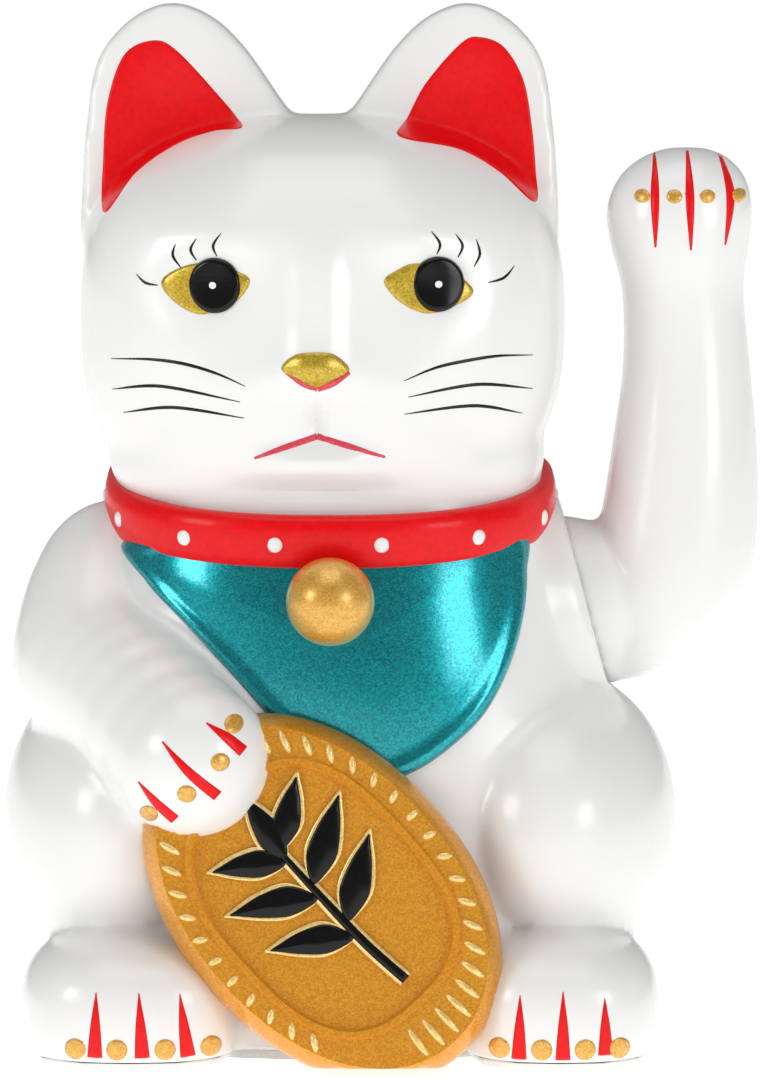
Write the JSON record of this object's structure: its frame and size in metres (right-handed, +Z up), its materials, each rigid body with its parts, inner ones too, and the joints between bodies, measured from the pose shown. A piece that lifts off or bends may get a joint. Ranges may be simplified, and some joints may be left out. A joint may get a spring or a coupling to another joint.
{
  "type": "beckoning cat figurine",
  "caption": "Seated hollow cat figurine with collar, bell and oval coin; its raised arm rocks on a weighted, battery-driven pendulum.",
  "frame": {"origin": "on the flat underside of the base plate, below the middle of the body", "axes": "+Z up from the base to the ear tips; the cat faces -Y; +X is towards the raised arm, along the arm's pivot shaft"},
  "size_m": [0.1463, 0.1083, 0.1998],
  "materials": {
    "white_abs": "sprayed satin-gloss white over moulded ABS",
    "plain_abs": "moulded ABS, unpainted",
    "red_enamel": "glossy red paint over moulded ABS",
    "gold_paint": "metallic gold paint over moulded ABS",
    "orange_gold_paint": "orange-gold flake paint over moulded ABS",
    "black_plastic": "moulded, unpainted",
    "steel": "bright drawn steel",
    "zinc_plated_steel": "zinc plated",
    "nickel_plate": "nickel-plated magnet",
    "brass": "turned and pressed brass",
    "enamelled_copper": "fine enamelled copper wire, wound",
    "board_green": "green solder mask",
    "cell_jacket": "plain printed steel can",
    "red_pvc": "PVC insulation",
    "black_pvc": "PVC insulation"
  },
  "bodies": {
    "root": {"front_shell": "white_abs", "rear_shell": "white_abs", "base_plate": "plain_abs", "collar": "red_enamel", "bell": "gold_paint", "koban_coin": "orange_gold_paint", "mechanism_frame": "plain_abs", "inner_bush": "brass", "outer_bush": "brass", "coil_bobbin": "plain_abs", "coil_winding": "enamelled_copper", "circuit_board": "board_green", "transistor": "black_plastic", "capacitor": "black_plastic", "battery_cell": "cell_jacket", "contact_spring": "steel", "contact_plate": "brass", "switch_body": "black_plastic", "base_screw_1": "steel", "base_screw_2": "steel", "base_screw_3": "steel", "base_screw_4": "steel", "frame_screw_1": "steel", "frame_screw_2": "steel", "positive_wire": "red_pvc", "negative_wire": "black_pvc", "switch_wire": "black_pvc"},
    "arm": {"arm_front_shell": "white_abs", "arm_rear_shell": "white_abs", "arm_hub": "plain_abs", "pivot_shaft": "steel", "shaft_clip": "steel", "pendulum_lever": "black_plastic", "counterweight": "zinc_plated_steel", "drive_magnet": "nickel_plate"},
    "battery_door": {"battery_door": "plain_abs"},
    "switch_knob": {"switch_knob": "black_plastic"}
  },
  "joints": [
    {"name": "arm_swing", "type": "hinge", "parent": "root", "child": "arm", "pos_m": [0.0465, 0, 0.084], "axis": [1, 0, 0], "range_deg": [-23, 23]},
    {"name": "door_slide", "type": "slide", "parent": "root", "child": "battery_door", "axis": [0, 1, 0], "range_m": [0, 0.028]},
    {"name": "switch_slide", "type": "slide", "parent": "root", "child": "switch_knob", "axis": [1, 0, 0], "range_m": [0, 0.003]}
  ]
}
